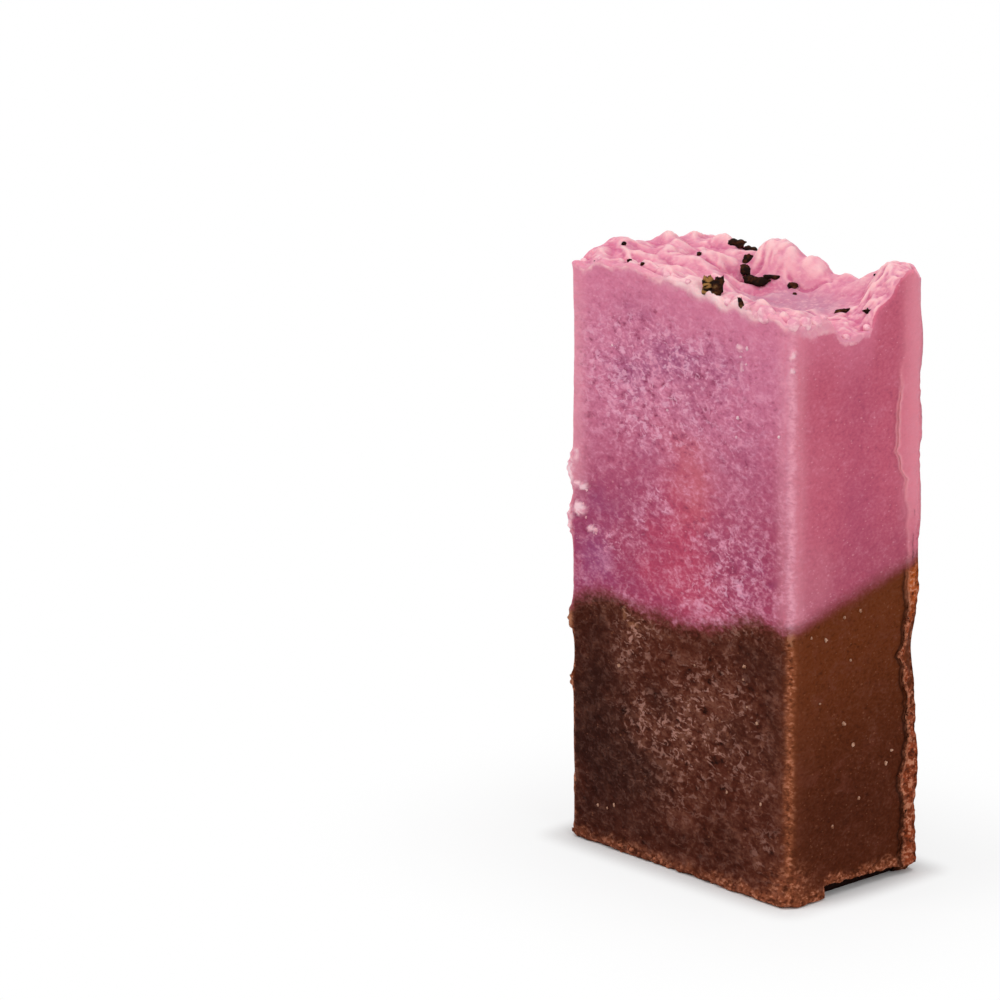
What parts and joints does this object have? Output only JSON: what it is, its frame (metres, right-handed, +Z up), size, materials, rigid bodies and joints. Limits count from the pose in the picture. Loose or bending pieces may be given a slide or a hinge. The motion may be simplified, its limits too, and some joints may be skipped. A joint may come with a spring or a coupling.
{
  "type": "bar of soap",
  "caption": "Upright hand-cut bar of soap with a brown lower pour, a pink upper pour, a rough crumbled top and dried leaf flakes pressed in it.",
  "frame": {"origin": "middle of the flat bottom end, on the surface that the bar stands on", "axes": "+Z up to the rough poured top; the two wide cut faces look along -Y and +Y; +X towards the narrow face with the burr along its back edge"},
  "size_m": [0.0472, 0.0269, 0.0921],
  "materials": {
    "brown_soap": "satin cut soap, brown",
    "pink_soap": "satin cut soap, mottled pink",
    "dried_leaf": "dry and dull"
  },
  "bodies": {
    "root": {"base_layer": "brown_soap", "top_layer": "pink_soap", "dried_flakes": "dried_leaf"}
  },
  "joints": []
}
